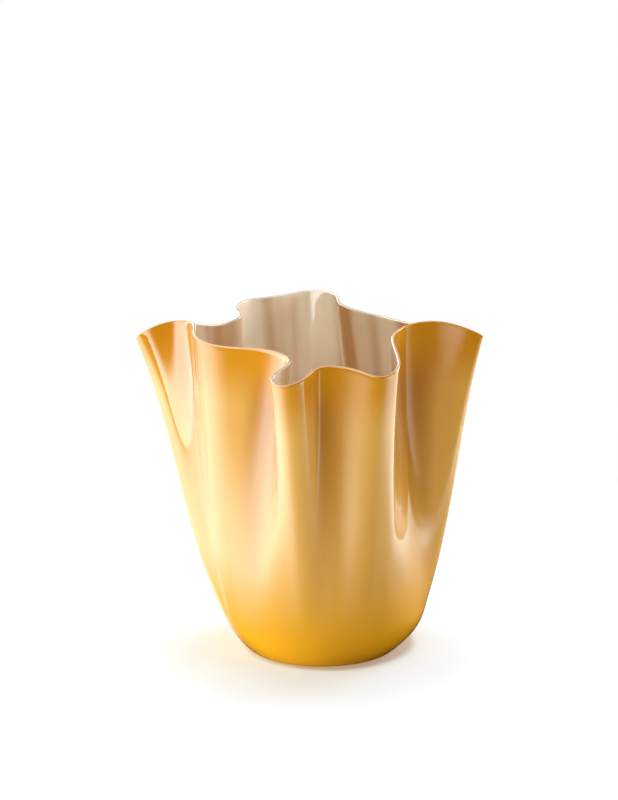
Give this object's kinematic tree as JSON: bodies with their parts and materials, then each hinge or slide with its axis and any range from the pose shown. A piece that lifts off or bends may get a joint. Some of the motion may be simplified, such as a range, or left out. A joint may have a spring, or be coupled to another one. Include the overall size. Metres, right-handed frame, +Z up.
{
  "type": "handkerchief vase",
  "caption": "Tall vase blown as one piece of cased opaque glass, with a flat foot, a round cup and a deeply folded, wavy rim like a draped handkerchief.",
  "frame": {"origin": "centre of the flat foot, on the surface that the vase stands on", "axes": "+Z up, -Y towards the viewer of the picture, +X to the viewer's right"},
  "size_m": [0.2983, 0.2859, 0.2892],
  "materials": {
    "cased_glass": "polished opaque glass, amber casing outside and opal white lining inside"
  },
  "bodies": {
    "root": {"vase": "cased_glass"}
  },
  "joints": []
}
